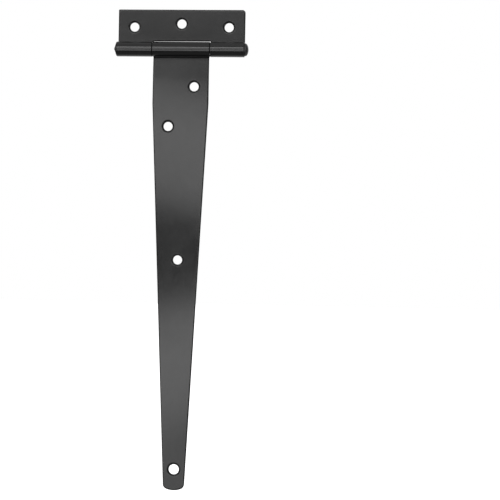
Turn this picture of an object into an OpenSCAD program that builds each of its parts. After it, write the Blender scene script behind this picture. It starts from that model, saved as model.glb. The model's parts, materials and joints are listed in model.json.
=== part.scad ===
// Tee hinge for a gate or a shed door: a wide short leaf for the post, a long tapered strap for the
// gate, and a riveted pin that joins their rolled knuckles.
// The origin is the middle of the pin's axis. X runs along the pin, the post leaf stands up along +Z,
// the strap hangs down along -Z, and the faces that are seen look towards -Y.

/* [Sheet] */
// Thickness of the steel sheet of both leaves
sheet = 2.0; // [1.6:0.1:2.4]
// Gap that the rolled ends leave in front of the sheet
roll_gap = 0.35; // [0.2:0.05:0.6]

/* [Post leaf] */
// Length of the post leaf along the pin
leaf_w = 86.8; // [70:0.2:110]
// Height of the post leaf above the pin's axis
leaf_h = 27.6; // [24:0.2:40]
// Radius of the leaf's upper corner on the right
leaf_corner_r = 2.0; // [1:0.5:4]
// Width of the window in the leaf that the strap turns in
window_w = 39.8; // [39.6:0.2:44]
// Height of the window's upper edge above the pin's axis
window_h = 6.2; // [6:0.1:9]
// Radius of the window's inner corners
window_corner_r = 0.8; // [0.4:0.1:1.2]

/* [Strap] */
// Length of the strap from the pin's axis to its tip
strap_len = 300; // [220:5:400]
// Width of the strap's knuckle
knuckle_w = 39.0; // [36:0.2:39.2]
// Width of the strap just below its knuckle
strap_root_w = 38.2; // [34:0.2:38.6]
// Width of the strap at its shoulders, where the taper starts
strap_shoulder_w = 38.4; // [34:0.2:38.8]
// Distance of the shoulders below the pin's axis
shoulder_drop = 36.4; // [30:0.2:60]
// Width that the taper narrows to at the tip, before the tip is rounded
tip_w = 14.2; // [13:0.1:20]
// Radius of the shallow arc that ends the strap
tip_r = 13.6; // [11:0.2:20]
// Radius of the corners between that arc and the strap's sides
tip_corner_r = 3.5; // [1:0.5:5]

/* [Pin] */
// Diameter of the hinge pin
pin_d = 6.0; // [5:0.1:6.4]
// Radial clearance of both leaves' knuckles round the pin
pin_clear = 0.05; // [0.02:0.01:0.09]
// Diameter of the pin's round head
head_d = 8.6; // [8:0.1:9.6]
// Height of the pin's round head
head_h = 2.7; // [2:0.1:3.5]
// Diameter of the pin's hammered end
rivet_d = 9.7; // [8:0.1:10]
// Height of the pin's hammered end
rivet_h = 2.2; // [1.6:0.1:3]
// Height of the straight rim under the round head's cap
head_rim = 0.8; // [0.2:0.1:1.5]
// Height of the straight rim under the hammered end's cap
rivet_rim = 0.5; // [0.2:0.1:1]
// Gap between each pin head and the leaf's knuckle
head_gap = 0.1; // [0.05:0.05:0.3]

/* [Screw holes] */
// Diameter of the post leaf's two outer holes
outer_hole_d = 6.0; // [5:0.1:7]
// Distance between the post leaf's two outer holes
outer_hole_pitch = 64.8; // [56:0.2:70]
// Height of the outer holes above the pin's axis
outer_hole_h = 15.7; // [13:0.1:18]
// Diameter of the post leaf's middle hole
middle_hole_d = 6.1; // [5:0.1:7]
// Height of the middle hole above the pin's axis
middle_hole_h = 18.0; // [15:0.2:20]
// Diameter of the strap's three upper holes
strap_hole_d = 6.0; // [5:0.1:7]
// Diameter of the strap's tip hole
tip_hole_d = 6.7; // [6:0.1:8]

/* [Hidden] */
$fn = 96;
eps = 0.5;                              // how far a cutter runs past what it cuts
bore_r = pin_d / 2 + pin_clear;         // inside of the rolled knuckles
roll_r = bore_r + sheet;                // outside of the rolled knuckles, and the leaves' back plane
roll_slot = bore_r - roll_gap;          // the rolled end stops this far behind the pin's axis
crown_cut = 0.02;                       // taken off the crown of both pin heads
paint_black = [0.05, 0.05, 0.053];
// Each strap hole: how far right of the strap's middle line, and how far below the pin's axis
strap_holes = [[9.2, 24.8], [-8.2, 52.0], [0, 143.0]];
tip_hole_drop = 285.8;

ear_w = (leaf_w - window_w) / 2;        // length of each of the leaf's two knuckles
// The strap's right side: how far it leans in, the way out of it and the way down along it
taper = atan((strap_shoulder_w - tip_w) / 2 / (strap_len - shoulder_drop));
side_out = [cos(taper), -sin(taper)];
side_down = [-sin(taper), -cos(taper)];
// The tip's arc is round arc_mid. A corner's middle lies tip_corner_r inside both side and arc, so it
// is a right triangle away from arc_mid: one leg out across the side, the other down along it.
arc_mid = [0, tip_r - strap_len];
leg_out = ([tip_w / 2, -strap_len] - arc_mid) * side_out - tip_corner_r;
leg_down = sqrt(pow(tip_r - tip_corner_r, 2) - leg_out * leg_out);
corner_mid = arc_mid + leg_out * side_out + leg_down * side_down;

// A sheet seen end-on, drawn in Y (right) and height (up): a flat that stands on the back plane, and
// a roll that leaves it below, turns forward round the pin and comes back over the top to the
// sheet's front, where a narrow gap is left.
module rolled_end() {
    difference() {
        circle(r = roll_r);
        circle(r = bore_r);
        translate([roll_slot, 0]) square([roll_gap, roll_r]);
    }
    // the sheet between the axis and the top of the roll
    translate([bore_r, 0]) square([sheet, roll_r]);
}

// Sweeps a drawing in Y and height along the pin, from x0 over a length w.
module along_pin(x0, w) {
    translate([x0, 0, 0]) rotate([90, 0, 90]) linear_extrude(w) children();
}

// Cuts a screw hole straight through the sheet, x right of the middle and z above the pin's axis.
module screw_hole(x, z, d) {
    translate([x, bore_r - eps, z]) rotate([-90, 0, 0]) cylinder(d = d, h = sheet + 2 * eps);
}

// A flat outline in X and height, given the sheet's thickness and stood against the back plane.
module flat_sheet() {
    translate([0, roll_r, 0]) rotate([90, 0, 0]) linear_extrude(sheet) children();
}

// The post leaf's flat: a plate with one rounded corner and a window for the strap's knuckle.
module post_outline() {
    half = leaf_w / 2;
    difference() {
        union() {
            translate([-half, 0]) square([leaf_w - leaf_corner_r, leaf_h]);
            translate([half - leaf_corner_r, 0]) square([leaf_corner_r, leaf_h - leaf_corner_r]);
            translate([half - leaf_corner_r, leaf_h - leaf_corner_r]) circle(r = leaf_corner_r);
        }
        window_outline();
    }
}

module window_outline() {
    inner = window_w / 2 - window_corner_r;
    translate([-window_w / 2, -eps]) square([window_w, window_h - window_corner_r + eps]);
    translate([-inner, 0]) square([2 * inner, window_h]);
    for (side = [-1, 1])
        translate([side * inner, window_h - window_corner_r]) circle(r = window_corner_r);
}

// The leaf that is screwed to the post, with a rolled knuckle at each end of its lower edge.
module post_leaf() {
    color(paint_black) difference() {
        union() {
            flat_sheet() post_outline();
            for (x0 = [-leaf_w / 2, window_w / 2])
                along_pin(x0, ear_w) rolled_end();
        }
        for (side = [-1, 1])
            screw_hole(side * outer_hole_pitch / 2, outer_hole_h, outer_hole_d);
        screw_hole(0, middle_hole_h, middle_hole_d);
    }
}

// The strap's flat: it widens a little to its shoulders, tapers to the tip and ends in a shallow arc
// with rounded corners.
module strap_outline() {
    difference() {
        intersection() {
            polygon([
                [-strap_root_w / 2, 0], [strap_root_w / 2, 0],
                [strap_shoulder_w / 2, -shoulder_drop], [tip_w / 2, -strap_len],
                [-tip_w / 2, -strap_len], [-strap_shoulder_w / 2, -shoulder_drop]
            ]);
            union() {
                translate([-leaf_w / 2, arc_mid.y]) square([leaf_w, -arc_mid.y]);
                translate(arc_mid) circle(r = tip_r);
            }
        }
        for (side = [0, 1]) mirror([side, 0]) sharp_corner();
    }
    for (side = [0, 1]) mirror([side, 0]) translate(corner_mid) circle(r = tip_corner_r);
}

// What the tip's rounded corner takes away: a lozenge from the corner's middle to the side, to the
// arc and past the point where the two meet.
module sharp_corner() {
    to_side = tip_corner_r * side_out;
    to_arc = (corner_mid - arc_mid) * tip_corner_r / (tip_r - tip_corner_r);
    translate(corner_mid) polygon([[0, 0], to_side, to_side + to_arc, to_arc]);
}

// The long strap that is screwed to the gate, rolled the other way round the same pin.
module strap() {
    color(paint_black) difference() {
        union() {
            flat_sheet() strap_outline();
            mirror([0, 0, 1]) along_pin(-knuckle_w / 2, knuckle_w) rolled_end();
        }
        for (h = strap_holes) screw_hole(h.x, -h.y, strap_hole_d);
        screw_hole(0, -tip_hole_drop, tip_hole_d);
    }
}

// Half of a domed head, drawn beside the pin's axis: a straight side up to the rim, then the arc of
// a ball. A hair's breadth is cut off the crown, which leaves a small flat there.
module head_half(d, h, rim) {
    rise = h - rim;
    ball_r = (d * d / 4 + rise * rise) / (2 * rise);
    intersection() {
        square([d / 2, h - crown_cut]);
        translate([0, h - ball_r]) circle(r = ball_r);
    }
}

// The pin, turned as one piece: a round head on the right, a plain shank, and on the left the end
// that is hammered over when the hinge is put together.
module hinge_pin() {
    seat = leaf_w / 2 + head_gap;
    color(paint_black) rotate([0, 90, 0]) rotate_extrude() {
        translate([0, -seat]) square([pin_d / 2, 2 * seat]);
        translate([0, seat]) head_half(head_d, head_h, head_rim);
        translate([0, -seat]) mirror([0, 1]) head_half(rivet_d, rivet_h, rivet_rim);
    }
}

post_leaf();
strap();
hinge_pin();
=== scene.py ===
# %% [markdown]
# # A tee hinge for a gate
# A tee hinge is made of three pieces. A short wide leaf is screwed to the post, a long tapered strap is
# screwed to the gate, and a riveted pin goes through the knuckles that both leaves are rolled into.
# The leaves are punched from 2 mm steel sheet, rolled, put together and then powder coated black.
#
# This lesson builds each piece the way the press shop does. A flat blank is worked out first, with its
# punched holes and its softly rounded edges, and the blank is then rolled round the pin.

# %% Load the working model, which holds every size and joint
import json
import math

import bmesh
import bpy
import numpy as np
from mathutils.geometry import delaunay_2d_cdt
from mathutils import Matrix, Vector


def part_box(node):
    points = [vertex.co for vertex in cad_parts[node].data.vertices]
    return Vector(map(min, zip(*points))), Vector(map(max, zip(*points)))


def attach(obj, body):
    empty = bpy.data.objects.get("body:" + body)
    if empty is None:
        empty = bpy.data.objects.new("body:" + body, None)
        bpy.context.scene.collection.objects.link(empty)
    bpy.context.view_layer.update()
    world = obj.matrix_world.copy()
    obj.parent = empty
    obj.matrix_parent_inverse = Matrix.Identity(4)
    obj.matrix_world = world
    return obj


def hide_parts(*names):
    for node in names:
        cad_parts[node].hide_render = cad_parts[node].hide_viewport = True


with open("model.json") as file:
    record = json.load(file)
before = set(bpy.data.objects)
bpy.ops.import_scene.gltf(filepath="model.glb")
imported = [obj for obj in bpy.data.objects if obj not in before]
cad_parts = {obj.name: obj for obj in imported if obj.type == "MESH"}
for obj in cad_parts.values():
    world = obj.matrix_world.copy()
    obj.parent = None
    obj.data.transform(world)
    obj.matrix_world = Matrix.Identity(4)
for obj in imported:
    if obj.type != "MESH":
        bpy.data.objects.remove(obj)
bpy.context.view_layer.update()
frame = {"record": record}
mounts = {mount["name"]: mount for mount in frame["record"]["mounts"]}

# %% [markdown]
# The sizes come from the working model. The two faces of the sheet are where its mounts say, and the
# leaf's and the strap's extents are their boxes. Sizes that aren't written in any box are named where
# the piece that needs them is made, in metres.

# %% Sizes
MM = 0.001
FRONT = mounts["post_middle_screw"]["pos_m"][1]     # how far the sheet's front lies behind the pin's axis
BACK = mounts["post_back"]["pos_m"][1]              # and the sheet's back, which is the knuckles' radius
SHEET = BACK - FRONT
leaf_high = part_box("post_leaf")[1]
strap_low, strap_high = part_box("strap")
pin_low, pin_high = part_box("hinge_pin")
LEAF_HALF = leaf_high.x
LEAF_TOP = leaf_high.z
KNUCKLE_HALF = strap_high.x
STRAP_LENGTH = -strap_low.z
OFF_CENTRE = 0.5 * MM            # how far the leaf's window and the knuckle in it sit to the right
print(f"sheet {SHEET / MM:.2f} mm, knuckles {2 * BACK / MM:.2f} mm, strap {STRAP_LENGTH / MM:.0f} mm")

# %% [markdown]
# The screw holes are the hinge's interface, so their places and radii are read from the mounts. A blank
# is drawn with its knuckle end down. The strap hangs the other way up, so its blank is drawn turned by
# half a turn about the Y axis and turned back at the end, which changes the sign of X and Z alike.

# %% Screw holes, as (x, height, radius) on each blank
HOLE_SLACK = 0.1 * MM            # the punch opens a hole a little wider than its nominal size
PAIR_RISE, PAIR_RUN = 13.6, 8.7  # the way that the strap's staggered pair runs, up to the right


def hole_at(name, dx=0.0, dz=0.0):
    """A hole's centre and radius on the standing blank, dx and dz away from its mount's point."""
    mount = mounts[name]
    x, _, z = mount["pos_m"]
    radius = mount["dims"].get("r_mm") or mount["dims"]["hole_r_mm"]
    return (x + dx, z + dz, radius * MM + HOLE_SLACK)


def half_turned(holes):
    """The same holes on a blank that is turned half a turn about the Y axis."""
    return [(-x, -z, radius) for x, z, radius in holes]


half_pitch = mounts["post_outer_screws"]["dims"]["spacing_x_mm"] * MM / 2
pair_reach = mounts["strap_upper_screws"]["dims"]["pcd_mm"] * MM / 2
pair_slant = math.atan2(PAIR_RISE, PAIR_RUN)
pair_x, pair_z = pair_reach * math.cos(pair_slant), pair_reach * math.sin(pair_slant)
leaf_holes = [
    hole_at("post_outer_screws", dx=-half_pitch),
    hole_at("post_middle_screw"),
    hole_at("post_outer_screws", dx=half_pitch),
]
strap_holes = half_turned([
    hole_at("strap_upper_screws", pair_x, pair_z),
    hole_at("strap_upper_screws", -pair_x, -pair_z),
    hole_at("strap_middle_screw"),
    hole_at("strap_tip_screw"),
])
print("leaf holes (mm):", np.round(np.array(leaf_holes) / MM, 2).tolist())
print("strap holes (mm):", np.round(np.array(strap_holes) / MM, 2).tolist())

# %% [markdown]
# ## The outline of a blank
# A blank's outline is a loop of straight cuts with rounded corners. A flat shape with a Solidify and a
# Bevel modifier could stand for it, but a bevel is the same all round, and a punched edge isn't. The
# rounded edge of the sheet needs the loop again and again, each time a little further in, so the outline
# is a function of how far in it is drawn. A corner's arc keeps its middle while the loop moves in, and
# once the arc has no radius left the loop turns on the mitre line. Straight stretches get a point
# wherever they cross a ruled line, so that they match the rows of points that the flat is filled with.

# %% Points on a straight cut
def unit(vectors):
    """Each row scaled to length one."""
    return vectors / np.linalg.norm(vectors, axis=-1, keepdims=True)


def ruled_points(start, end, lines, spots, rooms):
    """Points on the straight cut from start to end where it crosses the ruled lines, ends left out.
    spots are the two sharp corners that it runs between, and rooms are how close to each of them a
    line may come, so that every inset has as many points."""
    axis = 0 if abs(end[0] - start[0]) > abs(end[1] - start[1]) else 1
    (low, low_room), (high, high_room) = sorted((spot[axis], room) for spot, room in zip(spots, rooms))
    chosen = lines[axis][(lines[axis] > low + low_room) & (lines[axis] < high - high_room)]
    chosen = chosen if end[axis] > start[axis] else chosen[::-1]
    share = (chosen - start[axis]) / (end[axis] - start[axis])
    return start + share[:, None] * (end - start)


# %% Outline of a blank, and of a hole in it
ARC_STEP = math.radians(9)       # the turn from one point of a corner's arc to the next, at most
CORNER_ROOM = 0.3 * MM           # kept free of ruled lines where an arc meets a straight cut
ROUND = 72                       # points in a full circle


def outline(corners, inset, deepest, lines):
    """The loop of a blank's corners (x, z, radius), anticlockwise, drawn inset inside the cut edge.
    A corner at V with edge normals n1 and n2 has its arc's middle at V - r m, where m = (n1 + n2) /
    (1 + n1.n2), and the loop there is that middle plus (r - inset) n, with n turning from n1 to n2.
    An inner corner's arc has its middle outside the sheet, and grows with the inset."""
    spots = np.array([corner[:2] for corner in corners])
    radii = np.array([corner[2] for corner in corners])
    along = unit(np.roll(spots, -1, axis=0) - spots)
    before = np.roll(along, 1, axis=0)
    normal_in = np.c_[before[:, 1], -before[:, 0]]
    normal_out = np.c_[along[:, 1], -along[:, 0]]
    turn = np.arctan2(before[:, 0] * along[:, 1] - before[:, 1] * along[:, 0], (before * along).sum(1))
    mitre = (normal_in + normal_out) / (1 + (normal_in * normal_out).sum(1))[:, None]
    side = np.sign(turn)
    reach = np.where(side > 0, np.maximum(radii, inset), -radii)
    middles = spots - reach[:, None] * mitre
    swing = np.where(side > 0, np.maximum(radii - inset, 0), -(radii + inset))
    room = np.maximum(radii, deepest) * np.tan(np.abs(turn) / 2) + CORNER_ROOM
    arcs = []
    for middle, length, first, bend in zip(middles, swing, normal_in, turn):
        steps = np.linspace(0, 1, max(2, math.ceil(abs(bend) / ARC_STEP) + 1))
        angle = math.atan2(first[1], first[0]) + steps * bend
        arcs.append(middle + length * np.c_[np.cos(angle), np.sin(angle)])
    loop = []
    for i, arc in enumerate(arcs):
        pair = [i, (i + 1) % len(arcs)]
        loop += [arc, ruled_points(arc[-1], arcs[pair[1]][0], lines, spots[pair], room[pair])]
    return np.concatenate(loop)


def punched_circle(hole, inset):
    """The loop round a hole, inset into the sheet. It runs clockwise, so that the sheet is on its left."""
    x, z, radius = hole
    angle = -np.arange(ROUND) * 2 * math.pi / ROUND
    return np.c_[x + (radius + inset) * np.cos(angle), z + (radius + inset) * np.sin(angle)]


# %% [markdown]
# ## The edge of pressed sheet
# A punch doesn't leave a square edge. On the side that it enters, the sheet is drawn down before it
# shears, which leaves a roll-over, and round a small hole this is wider and deeper than along the
# outline. On the far side the edge is nearly sharp. The powder coat softens both. The profile of such an
# edge is a row of (inset, depth) pairs: the roll-over at the front, the sheared wall, and a small quarter
# circle at the back. Carrying it round every loop makes all edges and hole rims at once, in geometry, so
# they catch the light from every side.

# %% Profile of a pressed edge
BACK_EDGE = 0.28 * MM
FLAT_BAND = 0.25 * MM            # a narrow flat ring that keeps the shading of the flats flat
WALL_POINT = 0.65                # where the wall gets a point, as a share of the sheet


def edge_profile(width, depth):
    """Rows of (inset, depth, dull): a roll-over at the front, a wall, and a quarter circle behind.
    With t from 0 to a quarter turn, inset = w (1 - sin^1.5 t) and depth = d (1 - cos^1.5 t), which is
    flatter in its middle than a quarter ellipse.
    The third column is 1 on the wall, where the coat is dullest and its colour is darkened most as painted
    shade, and 0 on the flats."""
    t = np.linspace(0, math.pi / 2, 15)
    front = np.c_[width * (1 - np.sin(t) ** 1.5), depth * (1 - np.cos(t) ** 1.5), np.sin(t) ** 4]
    wall = [[0, SHEET * WALL_POINT, 1]]
    s = np.linspace(0, math.pi / 2, 7)
    back = np.c_[BACK_EDGE * (1 - np.cos(s)), SHEET - BACK_EDGE * (1 - np.sin(s)), 0.6 * np.sin(2 * s)]
    first = [[width + FLAT_BAND, 0, 0]]
    last = [[BACK_EDGE + FLAT_BAND, SHEET, 0]]
    return np.concatenate([first, front, wall, back, last])


OUTLINE_EDGE = edge_profile(width=0.7 * MM, depth=0.6 * MM)
HOLE_EDGE = edge_profile(width=1.3 * MM, depth=1.25 * MM)
for name, edge in (("outline", OUTLINE_EDGE), ("hole", HOLE_EDGE)):
    print(f"{name} edge: {len(edge)} steps, {edge[0, 0] / MM:.2f} mm wide")

# %% [markdown]
# ## From loops to a solid sheet
# Each loop gives a band: one row of points for each step of the edge profile. What is left is to fill the
# two flats between the innermost loops. Both are plane at this stage, so a Delaunay triangulation does it,
# with extra points on the ruled lines so that the sheet can be rolled afterwards. A boolean could cut the
# holes instead, but it would leave long thin faces that shade badly once the sheet is rolled.

# %% Band: an edge carried round a loop
def grid_quads(steps, count):
    """The corners of each quad between steps rows of count points, with every row closed on itself."""
    i, j = np.meshgrid(np.arange(steps - 1), np.arange(count), indexing="ij")
    k = (j + 1) % count
    quads = np.stack([i * count + j, (i + 1) * count + j, (i + 1) * count + k, i * count + k], axis=-1)
    return quads.reshape(-1, 4)


def band(loop_at, edge):
    """Points (x, z, depth, dull) of an edge carried round a loop, and its quads."""
    rows = []
    for inset, depth, dull in edge:
        loop = loop_at(inset)
        rows.append(np.c_[loop, np.full(len(loop), depth), np.full(len(loop), dull)])
    return np.concatenate(rows), grid_quads(len(rows), len(rows[0]))


# %% Flat: the sheet's face inside an outline and round its holes
CLEAR_OF_LOOPS = (1.0 * MM, 0.3 * MM)      # how near to a loop a crossing may lie, across and along
CLEAR_OF_HOLES = 0.5 * MM


def flat(outer, holes, inset, depth, lines, towards_front):
    """Points and triangles of a flat inside the loop outer, with a hole's opening inset from its rim.
    The points are those of the loops and the crossings of the ruled lines that are clear of them."""
    loops = [outer, *(punched_circle(hole, inset) for hole in holes)]
    border = np.concatenate(loops)
    firsts = np.cumsum([0] + [len(loop) for loop in loops[:-1]])
    rings = [first + np.arange(len(loop)) for first, loop in zip(firsts, loops)]
    edges = np.concatenate([np.c_[ring, np.roll(ring, -1)] for ring in rings])
    crossings = np.stack(np.meshgrid(*lines), axis=-1).reshape(-1, 2)
    gap = np.abs(crossings[:, None, :] - border[None, :, :]) / CLEAR_OF_LOOPS
    clear = (np.hypot(gap[..., 0], gap[..., 1]) > 1).all(axis=1)
    for x, z, radius in holes:
        clear &= np.hypot(crossings[:, 0] - x, crossings[:, 1] - z) > radius + inset + CLEAR_OF_HOLES
    points = np.concatenate([border, crossings[clear]])
    found = delaunay_2d_cdt((points / MM).tolist(), edges.tolist(), [], 1, 1e-5)
    points, triangles = np.array([tuple(p) for p in found[0]]) * MM, np.array(found[2])
    middle = points[triangles].mean(axis=1)
    keep = np.ones(len(triangles), bool)
    for x, z, radius in holes:
        keep &= np.hypot(middle[:, 0] - x, middle[:, 1] - z) > (radius + inset) * 0.999
    triangles = triangles[keep]
    a, b, c = (points[triangles[:, n]] for n in range(3))
    ab, ac = b - a, c - a
    facing = ab[:, 0] * ac[:, 1] - ab[:, 1] * ac[:, 0] > 0
    wrong = facing != towards_front
    triangles[wrong] = triangles[wrong][:, ::-1]
    return np.c_[points, np.full(len(points), depth), np.zeros(len(points))], triangles


# %% Blank: all bands and both flats
def blank(corners, holes, lines):
    """All points (x, z, depth, dull) and faces of a flat blank: its bands, its front and its back."""
    def loop_at(inset):
        return outline(corners, inset, OUTLINE_EDGE[0, 0], lines)

    parts = [band(loop_at, OUTLINE_EDGE)]
    parts += [band(lambda inset, hole=hole: punched_circle(hole, inset), HOLE_EDGE) for hole in holes]
    for row, depth, towards_front in ((0, 0.0, True), (-1, SHEET, False)):
        outer, inset = loop_at(OUTLINE_EDGE[row, 0]), HOLE_EDGE[row, 0]
        parts.append(flat(outer, holes, inset, depth, lines, towards_front))
    faces, first = [], 0
    for points, cells in parts:
        faces += (cells + first).tolist()
        first += len(points)
    return np.concatenate([points for points, _ in parts]), faces


# %% Finished piece: one closed skin
WELD = 0.002 * MM                # points closer than this are one point


def finished_piece(name, points, faces, dull):
    """A smooth mesh object at the origin, with the bands and flats welded into one closed skin. Crossings
    of ruled lines that lie outside the blank have no face, and are left out."""
    mesh = bpy.data.meshes.new(name)
    mesh.from_pydata(points.tolist(), [], faces)
    # The attribute carries both the dulling of the coat at its rims and the painted shade drawn there.
    mesh.attributes.new("dull", "FLOAT", "POINT").data.foreach_set("value", dull.astype(np.float32))
    skin = bmesh.new()
    skin.from_mesh(mesh)
    bmesh.ops.remove_doubles(skin, verts=skin.verts, dist=WELD)
    bmesh.ops.delete(skin, geom=[point for point in skin.verts if not point.link_faces], context="VERTS")
    open_edges = sum(not edge.is_manifold for edge in skin.edges)
    skin.to_mesh(mesh)
    volume = skin.calc_volume(signed=True)
    skin.free()
    mesh.shade_smooth()
    piece = bpy.data.objects.new(name, mesh)
    bpy.context.scene.collection.objects.link(piece)
    print(f"{name}: {len(mesh.polygons)} faces, {open_edges} open edges, {volume / MM ** 3:.0f} mm3")
    return piece


# %% [markdown]
# ## Rolling the knuckles
# A knuckle is the lower end of the blank, curled forward round a mandrel of the pin's size. A tube could
# be set beside the flat instead, but then the seam, the edges and the ends would have to be joined by
# hand. Here nothing is stretched on paper: a point that lies s below the pin's axis on the blank ends up
# at the angle s / R round the pin. The sheet's front becomes the inside of the knuckle and its back
# becomes the outside.

# %% Roll a blank round the pin
ROLL_TURN = math.radians(303)    # how far round the pin each knuckle is rolled
ROLL_LENGTH = BACK * ROLL_TURN
ROLL_STEP = 0.36 * MM            # from one ruled line to the next in the roll, four degrees of it
ACROSS_STEP = 2.4 * MM           # and at most from one to the next across the blank


def rolled(points):
    """Takes (x, z, depth) to the finished shape. Above the axis the sheet stands up, y = FRONT + depth.
    Below it, with a = -z / BACK and r = FRONT + depth, the point goes to y = r cos a, z = -r sin a."""
    x, z, radius = points[:, 0], points[:, 1], FRONT + points[:, 2]
    angle = np.maximum(-z, 0) / BACK
    return np.c_[x, radius * np.cos(angle), np.maximum(z, 0) - radius * np.sin(angle)]


def ruled_lines(half_width, top, step_up):
    """The ruled lines of a blank: even ones across it, close ones in its roll and wide ones on its flat."""
    count = math.ceil(2 * half_width / ACROSS_STEP)
    across = np.linspace(-half_width, half_width, count + 1)
    return across, np.concatenate([np.arange(-ROLL_LENGTH, 0, ROLL_STEP), np.arange(0, top, step_up)])


# %% [markdown]
# ## The post leaf
# The leaf is a plate with two ears, and the window between the ears leaves room for the strap's knuckle.
# One of its upper corners is well rounded, and the others are only broken. The window sits half a
# millimetre to the right of the middle and isn't cut quite square, so the gap above the strap's knuckle
# is a little lower on the left. Going round the corners in order, anticlockwise, draws it all in one loop.

# %% Post leaf
WINDOW_HALF = 19.9 * MM
WINDOW_TOP = 6.2 * MM
WINDOW_SAG = (0.18 * MM, 0.05 * MM)        # how much lower its edge is at the left and at the right
WINDOW_ROUND = 0.8 * MM
BROKEN = 0.3 * MM                # the radius of a corner that is only broken
leaf_corners = [
    (-LEAF_HALF, -ROLL_LENGTH, BROKEN),
    (OFF_CENTRE - WINDOW_HALF, -ROLL_LENGTH, BROKEN),
    (OFF_CENTRE - WINDOW_HALF, WINDOW_TOP - WINDOW_SAG[0], WINDOW_ROUND),
    (OFF_CENTRE + WINDOW_HALF, WINDOW_TOP - WINDOW_SAG[1], WINDOW_ROUND),
    (OFF_CENTRE + WINDOW_HALF, -ROLL_LENGTH, BROKEN),
    (LEAF_HALF, -ROLL_LENGTH, BROKEN),
    (LEAF_HALF, LEAF_TOP, 2.0 * MM),
    (-LEAF_HALF, LEAF_TOP, 0.6 * MM),
]
leaf_lines = ruled_lines(LEAF_HALF, LEAF_TOP, step_up=2.4 * MM)
leaf_points, leaf_faces = blank(leaf_corners, leaf_holes, leaf_lines)
post_leaf = finished_piece("post_leaf_sheet", rolled(leaf_points), leaf_faces, leaf_points[:, 3])
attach(post_leaf, "post_side")
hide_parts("post_leaf")

# %% [markdown]
# ## The strap
# The strap is widest at its shoulders and tapers in straight lines to its tip. The tip is a shallow arc
# between two rounded corners. Three corners draw it: the two small ones, and the big arc itself, which
# is the corner where the tangents at its ends would meet.

# %% Corners of the strap
ROOT_HALF = 19.1 * MM            # half the strap's width below its knuckle
SHOULDER_HALF = 19.2 * MM        # and at its shoulders, where the taper starts
SHOULDER_DROP = 36.4 * MM
SHOULDER_ROUND = 8 * MM
NECK_LOW, NECK_HIGH = -3 * MM, 4 * MM      # between these the knuckle's width runs over into the strap's
NECK_ROUND = 30 * MM
TIP_HALF = 7.1 * MM              # the taper's half width at the very tip
TIP_ARC = 13.6 * MM
TIP_CORNER = 3.5 * MM


def tip_corners():
    """The three corners of the tip, for the blank that stands on its knuckle. The small arc touches the
    side and the big arc, so its middle is one radius inside the side and TIP_ARC - TIP_CORNER from the
    big arc's middle. The tangent where the arcs touch meets the side and the centre line."""
    side = unit(np.array([TIP_HALF - SHOULDER_HALF, STRAP_LENGTH - SHOULDER_DROP]))
    out = np.array([side[1], -side[0]])
    arc_middle = np.array([0, STRAP_LENGTH - TIP_ARC])
    across = (np.array([TIP_HALF, STRAP_LENGTH]) - arc_middle) @ out - TIP_CORNER
    up = math.sqrt((TIP_ARC - TIP_CORNER) ** 2 - across ** 2)
    towards = unit(across * out + up * side)
    touch = arc_middle + TIP_ARC * towards
    corner = np.linalg.solve([out, towards], [out @ [TIP_HALF, STRAP_LENGTH], towards @ touch])
    peak = arc_middle[1] + TIP_ARC / towards[1]
    return [(corner[0], corner[1], TIP_CORNER), (0.0, peak, TIP_ARC), (-corner[0], corner[1], TIP_CORNER)]


knuckle_left, knuckle_right = -OFF_CENTRE - KNUCKLE_HALF, -OFF_CENTRE + KNUCKLE_HALF
strap_corners = [
    (knuckle_left, -ROLL_LENGTH, BROKEN),
    (knuckle_right, -ROLL_LENGTH, BROKEN),
    (knuckle_right, NECK_LOW, NECK_ROUND),
    (ROOT_HALF, NECK_HIGH, NECK_ROUND),
    (SHOULDER_HALF, SHOULDER_DROP, SHOULDER_ROUND),
    *tip_corners(),
    (-SHOULDER_HALF, SHOULDER_DROP, SHOULDER_ROUND),
    (-ROOT_HALF, NECK_HIGH, NECK_ROUND),
    (knuckle_left, NECK_LOW, NECK_ROUND),
]
print("strap corners (mm):", np.round(np.array(strap_corners) / MM, 1).tolist())

# %% [markdown]
# The strap isn't quite straight just below its knuckle. Rolling the knuckle has set the flat forward by a
# third of a millimetre over the first two centimetres, which is too little to see as a bend but enough to
# show, since the sheet mirrors something higher there. The points are moved after they have been rolled.

# %% Strap
SET_FORWARD = 0.30 * MM
SET_START = 1 * MM               # how far below the pin's axis the bend starts
SET_LENGTH = 19 * MM             # and how long it is


def set_forward(points):
    """Moves the flat below the knuckle forward by SET_FORWARD (3 p^2 - 2 p^3), where p goes from 0 to 1
    along the bend."""
    p = np.clip((-points[:, 2] - SET_START) / SET_LENGTH, 0, 1)
    moved = points.copy()
    moved[:, 1] -= SET_FORWARD * p ** 2 * (3 - 2 * p)
    return moved


strap_lines = ruled_lines(KNUCKLE_HALF, STRAP_LENGTH, step_up=3.0 * MM)
strap_points, strap_faces = blank(strap_corners, strap_holes, strap_lines)
hanging = set_forward(rolled(strap_points) * [-1, 1, -1])
strap = finished_piece("strap_sheet", hanging, strap_faces, strap_points[:, 3])
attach(strap, "gate_side")
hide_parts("strap")

# %% [markdown]
# ## The pin
# The pin is a rivet. Its head on the right is a turned dome. Its left end was hammered over when the
# hinge was put together, so it is a blunt cone with the flats of the hammer on it. Both are a profile
# turned round the pin's axis, as on a lathe, and on the hammered end the height also changes with the
# angle. A modifier that spins a profile couldn't do that.

# %% Profile of the pin
PIN_RADIUS = FRONT - 0.05 * MM
HEAD_SEAT = LEAF_HALF + 0.1 * MM
HEAD_RADIUS = 4.3 * MM
HEAD_RIM = 0.5 * MM              # the straight rim below the dome
HEAD_CHAMFER = 0.12 * MM
RIVET_RADIUS = 4.85 * MM
RIVET_LIP = 0.45 * MM            # how high the rounded lip of the hammered end is


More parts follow.
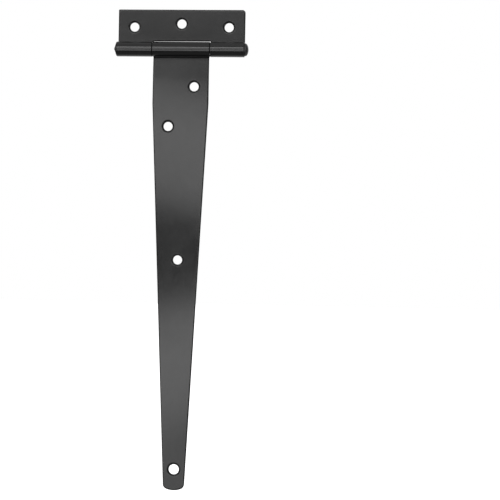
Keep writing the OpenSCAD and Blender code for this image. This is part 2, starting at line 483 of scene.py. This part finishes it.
def pin_profile():
    """Rows of (x, radius, hammered) from the left pole to the right one. The hammered end falls from
    its peak as 1 - (r / R)^1.3. The dome is the quarter ellipse x = h sin t, r = R cos t.
    hammered is how much of the facets' depth a row takes, and its coat is that much duller and darker."""
    r = np.concatenate([np.linspace(0, 0.86, 12), [0.93, 0.97, 0.995, 1.0]])
    cone = (-pin_low.x - HEAD_SEAT - RIVET_LIP) * (1 - r ** 1.3)
    lip = RIVET_LIP * np.sqrt(np.maximum(1 - r ** 14, 0))
    rivet = np.c_[-HEAD_SEAT - (cone + lip), RIVET_RADIUS * r, np.sin(math.pi * r) * (r < 0.98)]
    lip_back = [[-HEAD_SEAT, RIVET_RADIUS * 0.985, 0], [-HEAD_SEAT, PIN_RADIUS, 0]]
    shank_x = np.linspace(-HEAD_SEAT, HEAD_SEAT, 60)[1:-1]
    shank = np.c_[shank_x, np.full(len(shank_x), PIN_RADIUS), np.zeros(len(shank_x))]
    under = [
        [HEAD_SEAT, PIN_RADIUS, 0],
        [HEAD_SEAT, HEAD_RADIUS * 0.95, 0],
        [HEAD_SEAT + HEAD_CHAMFER, HEAD_RADIUS * 0.99, 0],
    ]
    t = np.linspace(0, math.pi / 2, 14)
    height = pin_high.x - HEAD_SEAT - HEAD_RIM
    dome = np.c_[HEAD_SEAT + HEAD_RIM + height * np.sin(t), HEAD_RADIUS * np.cos(t), 0 * t]
    return np.concatenate([rivet, lip_back, shank, under, dome])


# %% Hinge pin
HAMMER_MARKS = [(0.16 * MM, 5, 0.7), (0.12 * MM, 2, -1.1), (0.10 * MM, 3, 0.0)]   # (depth, lobes, lag)


def turned(profile):
    """The profile turned round the X axis: y = r cos a, z = r sin a. On the hammered end blunt facets,
    the sum of depth cos(lobes a + lag), push the surface inwards along X by some tenths of a millimetre."""
    angle = np.arange(ROUND) * 2 * math.pi / ROUND
    facets = sum(depth * np.cos(lobes * angle + lag) for depth, lobes, lag in HAMMER_MARKS)
    x = profile[:, :1] + profile[:, 2:] * (facets - facets.min())
    y = profile[:, 1:2] * np.cos(angle)
    z = profile[:, 1:2] * np.sin(angle)
    quads = grid_quads(len(profile), ROUND)[:, [0, 3, 2, 1]]       # the other way round, to face outwards
    return np.stack([x, y, z], axis=-1).reshape(-1, 3), quads.tolist()


pin_rows = pin_profile()
pin_points, pin_faces = turned(pin_rows)
hinge_pin = finished_piece("hinge_rivet", pin_points, pin_faces, np.repeat(pin_rows[:, 2], ROUND))
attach(hinge_pin, "post_side")
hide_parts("hinge_pin")

# %% [markdown]
# ## Shader maths in Python
# A material is easier to read as a formula. One small class wraps a node's output, so that sums and
# products of outputs write their own Math nodes, and one method makes every other node.

# %% Outputs that arithmetic works on
class Wire:
    """A node's output that arithmetic can be written with."""

    def __init__(self, paint, socket):
        self.paint = paint
        self.socket = socket

    def math(self, operation, *others):
        return self.paint.node("ShaderNodeMath", {"operation": operation}, dict(enumerate((self, *others))))

    def __add__(self, other):
        return self.math("ADD", other)

    def __mul__(self, other):
        return self.math("MULTIPLY", other)

    def __sub__(self, other):
        return self.math("SUBTRACT", other)

    def __rsub__(self, other):
        return self * -1.0 + other

    __radd__ = __add__
    __rmul__ = __mul__


# %% The nodes of a material or a world
def grey(value):
    """The colour that has value in all three channels."""
    return (value, value, value, 1)


class Paint:
    """The nodes of a material or of a world, which start out empty."""

    def __init__(self, owner):
        owner.use_nodes = True
        self.tree = owner.node_tree
        self.tree.nodes.clear()

    def node(self, kind, settings=None, inputs=None, output=0):
        """Adds a node, sets its settings, then sets or links its inputs, and returns one of its outputs."""
        node = self.tree.nodes.new(kind)
        for key, value in (settings or {}).items():
            setattr(node, key, value)
        for key, value in (inputs or {}).items():
            if isinstance(value, Wire):
                self.tree.links.new(value.socket, node.inputs[key])
            else:
                node.inputs[key].default_value = value
        return Wire(self, node.outputs[output]) if node.outputs else None

    def noise(self, place, scale, detail=2.0, roughness=0.5):
        """Noise from 0 to 1, scale being how many of its cells lie in a metre."""
        return self.node("ShaderNodeTexNoise", {}, {
            "Vector": place, "Scale": scale, "Detail": detail, "Roughness": roughness,
        })

    def ramp(self, share, stops):
        """A colour ramp whose stops are (place, colour) pairs, set before it is linked."""
        wire = self.node("ShaderNodeValToRGB")
        elements = wire.socket.node.color_ramp.elements
        for place, colour in stops[1:-1]:
            elements.new(place)
        for element, (place, colour) in zip(elements, stops):
            element.position, element.color = place, colour
        self.tree.links.new(share.socket, wire.socket.node.inputs[0])
        return wire

    def between(self, share, first, second):
        """The colour that share of the way from first to second gives."""
        return self.node("ShaderNodeMix", {"data_type": "RGBA"}, {0: share, 6: first, 7: second}, output=2)

    def eased(self, value, start, end, first, last):
        """Goes smoothly from first to last while value goes from start to end."""
        return self.node("ShaderNodeMapRange", {"interpolation_type": "SMOOTHSTEP"}, {
            "Value": value, "From Min": start, "From Max": end, "To Min": first, "To Max": last,
        })


# %% [markdown]
# ## Satin black powder coat
# Powder coat melts into a film that is never quite flat: it has a faint ripple a millimetre or two
# across, like orange peel, and a finer grain from the powder itself. Where the sheet rolls over, at its
# edges and round its holes, the coat is duller, and its colour is darkened there into a fine line of
# painted shade. The black is not even either, and handling leaves patches that shine slightly more than
# the rest. Painting an image for each sheet could show all this, but noise on the object's own
# coordinates has no seams and needs no unwrapping.

# %% Powder coat
# The edge black is painted shade: the colour that the coat is darkened to along its rolled edges and hole
# rims.
EDGE_SHADE_BLACK = 0.003               # what the coat darkens to at an edge
EDGE_DULLING = 0.5               # and how much rougher it is there


def powder_coat(name, black, roughness, ripple, scuffed):
    """Satin black: black is the linear colour, ripple the height of the orange peel in metres, and
    scuffed how far the scuffs break up the painted shade along the edges."""
    material = bpy.data.materials.new(name)
    paint = Paint(material)
    place = paint.node("ShaderNodeTexCoord", output="Object")
    dull = paint.node("ShaderNodeAttribute", {"attribute_name": "dull"}, output="Fac")
    patches = paint.noise(place, 22.0, detail=3.0)
    peel = paint.noise(place, 620.0, detail=1.0)
    grain = paint.noise(place, 3600.0, detail=2.0)
    scuffs = paint.noise(place, 140.0, detail=5.0, roughness=0.7)
    film = paint.between(patches, (black * 0.85, black * 0.85, black * 0.87, 1), grey(black * 1.15))
    # Painted shade: the colour is darkened towards the edge black along the rims, except where the scuffs
    # break it up.
    colour = paint.between(dull * (1 - scuffed * scuffs), film, grey(EDGE_SHADE_BLACK))
    gloss = roughness + 0.10 * (patches - 0.5) + 0.10 * (scuffs - 0.5) + EDGE_DULLING * dull
    height = 0.75 * peel + 0.25 * grain
    normal = paint.node("ShaderNodeBump", {}, {"Strength": 1.0, "Distance": ripple, "Height": height})
    coat = paint.node(
        "ShaderNodeBsdfPrincipled", {},
        {"Base Color": colour, "Roughness": gloss, "Normal": normal, "IOR": 1.5},
    )
    paint.node("ShaderNodeOutputMaterial", {}, {"Surface": coat})
    return material


coats = [
    (post_leaf, powder_coat("post leaf powder coat", 0.012, 0.15, 0.006 * MM, 0.1)),
    (strap, powder_coat("strap powder coat", 0.010, 0.15, 0.006 * MM, 0.1)),
    (hinge_pin, powder_coat("pin powder coat", 0.028, 0.36, 0.008 * MM, 0.9)),
]
for piece, material in coats:
    piece.data.materials.append(material)
    print(f"{piece.name}: {material.name}, {len(material.node_tree.nodes)} nodes")

# %% [markdown]
# ## The camera
# The hinge is seen almost square on from a little less than a metre away. The camera stands a little to
# the right of the hinge and turns back towards it, and it is held one degree off level. It stands about
# halfway down the strap, so the knuckles and the leaf are seen slightly from below. A long lens from
# further off would flatten the knuckles, and the window would no longer be seen from below.

# %% Camera
VIEW_WIDTH = 0.33837             # what the picture takes in at the hinge
CAMERA_DISTANCE = 0.85
FILM_WIDTH = 36.0                # mm
CAMERA_TURN = (90, -1.055, 4.074)          # degrees: level, held off level, turned back to the hinge
camera_data = bpy.data.cameras.new("camera")
camera_data.sensor_width = FILM_WIDTH
camera_data.lens = FILM_WIDTH * CAMERA_DISTANCE / VIEW_WIDTH
camera = bpy.data.objects.new("camera", camera_data)
camera.location = (0.110, FRONT - CAMERA_DISTANCE, -0.1353)
camera.rotation_euler = [math.radians(turn) for turn in CAMERA_TURN]
bpy.context.scene.collection.objects.link(camera)
bpy.context.scene.camera = camera
bpy.context.scene.view_settings.view_transform = "Standard"
print(f"camera: {camera_data.lens:.0f} mm lens at {CAMERA_DISTANCE} m")

# %% [markdown]
# ## The floor
# The hinge hangs over a plain pale floor, which is only a square. It glows a little, so that it stays
# pale wherever it is seen from. It lights nothing, because a black edge that looks down at a bright floor
# would turn grey.

# %% Floor
def studio_floor():
    """A big pale square below the hinge, which lights nothing."""
    half, height = 4.0, strap_low.z - 0.05
    corners = [(-half, -half, height), (half, -half, height), (half, half, height), (-half, half, height)]
    mesh = bpy.data.meshes.new("floor")
    mesh.from_pydata(corners, [], [(0, 1, 2, 3)])
    floor = bpy.data.objects.new("floor", mesh)
    bpy.context.scene.collection.objects.link(floor)
    material = bpy.data.materials.new("pale floor")
    paint = Paint(material)
    pale = paint.node(
        "ShaderNodeBsdfPrincipled", {},
        {"Base Color": grey(0.85), "Roughness": 0.9, "Emission Color": grey(1), "Emission Strength": 0.9},
    )
    paint.node("ShaderNodeOutputMaterial", {}, {"Surface": pale})
    mesh.materials.append(material)
    floor.visible_glossy = False
    floor.visible_diffuse = False
    print(f"floor: {-height:.2f} m below the pin's axis")
    return floor


studio_floor()

# %% [markdown]
# ## Soft boxes
# Satin black shows hardly anything of its own: what is seen is what it reflects. So the lights are laid
# out by what each part of the hinge should mirror. A flat strap that is seen square on mirrors a strip
# that stands beside the camera, twice as far from the camera's height as the spot on the strap. Two long
# soft boxes above and below the camera therefore make the strap's two light stretches, and the gap
# between them makes its dark middle. A third, lower one fades the strap out towards its tip, and a box
# high up draws the bright line along the knuckles.

# %% Soft boxes
def soft_box(name, place, size, radiance, tilt=0.0, lean=0.0):
    """An even area light at place that faces the hinge, width by height in size. radiance is how bright
    its face is, so its power is pi times radiance times area. tilt leans it forward in degrees, and lean
    turns it like the hand of a clock."""
    data = bpy.data.lights.new(name, "AREA")
    data.shape = "RECTANGLE"
    data.size, data.size_y = size
    data.energy = math.pi * radiance * size[0] * size[1]
    box = bpy.data.objects.new(name, data)
    box.location = place
    box.rotation_euler = (math.radians(90 - tilt), math.radians(lean), 0)
    box.visible_camera = False
    bpy.context.scene.collection.objects.link(box)
    print(f"{name}: {data.energy:.2f} W")


camera_x, camera_y, camera_z = camera.location      # the hinge mirrors what stands at -camera_x
soft_box("upper soft box", (-camera_x, camera_y, camera_z + 0.139), (1.2, 0.158), 2.3, lean=13)
soft_box("lower soft box", (-camera_x, camera_y, camera_z - 0.160), (1.2, 0.170), 2.6, lean=-12)
soft_box("low fill", (-camera_x, camera_y, camera_z - 0.325), (1.2, 0.130), 1.7)
soft_box("high soft box", (0, -2.2, 0.885), (3.0, 0.54), 3.05, tilt=20)

# %% [markdown]
# ## The surroundings
# The surroundings are a band of brightness that is wrapped round the X axis, the way of the knuckles. It
# is white behind the hinge, where the background stands, dim overhead, and dark on the floor in front.
# To the left and right it runs over into an even shade, which is dimmest at the two ends of the X axis.
# The camera sees plain white instead. A round studio picture could light the hinge too, but a ramp of a
# few named angles says exactly what each part of a knuckle mirrors.

# %% Surroundings
SURROUNDINGS = [                 # (angle in degrees, brightness): 0 to the front, 90 up, 180 behind
    (-180, 0.95), (-135, 0.95), (-110, 0.45), (-93, 0.20), (-45, 0.12), (-40, 0.0), (-9, 0.0),
    (-5, 0.30), (4, 0.35), (8, 0.50), (11, 1.00), (28, 1.00), (31, 0.35), (38, 0.35),
    (45, 0.60), (60, 0.70), (68, 0.42), (79, 0.42), (86, 0.70), (100, 0.50), (112, 0.35),
    (135, 0.95), (180, 0.95),
]
SIDE_SHADE = 0.4                 # the brightness to the left and right, beyond the soft boxes
END_DIM = 0.15                   # what is left of it at both ends of the X axis


def surroundings():
    """A world whose brightness is a ramp over the angle atan2(z, -y) of the direction looked in, and
    fades towards both ends of the X axis."""
    world = bpy.data.worlds.new("surroundings")
    paint = Paint(world)
    direction = paint.node("ShaderNodeTexCoord", output="Generated")
    x, y, z = (paint.node("ShaderNodeSeparateXYZ", {}, {0: direction}, output=axis) for axis in "XYZ")
    turn = z.math("ARCTAN2", y * -1.0) * (0.5 / math.pi) + 0.5
    ring = paint.ramp(turn, [((angle + 180) / 360, grey(value)) for angle, value in SURROUNDINGS])
    aside = x.math("ABSOLUTE")
    shade = paint.between(paint.eased(aside, 0.35, 0.65, 0.0, 1.0), ring, grey(SIDE_SHADE))
    strength = paint.eased(aside, 0.75, 0.95, 1.0, END_DIM)
    lit = paint.node("ShaderNodeBackground", {}, {"Color": shade, "Strength": strength})
    seen = paint.node("ShaderNodeBackground", {}, {"Color": grey(1), "Strength": 1.0})
    camera_ray = paint.node("ShaderNodeLightPath", output="Is Camera Ray")
    both = paint.node("ShaderNodeMixShader", {}, {0: camera_ray, 1: lit, 2: seen})
    paint.node("ShaderNodeOutputWorld", {}, {"Surface": both})
    return world


bpy.context.scene.world = surroundings()
print(f"surroundings: {len(SURROUNDINGS)} stops round the X axis")
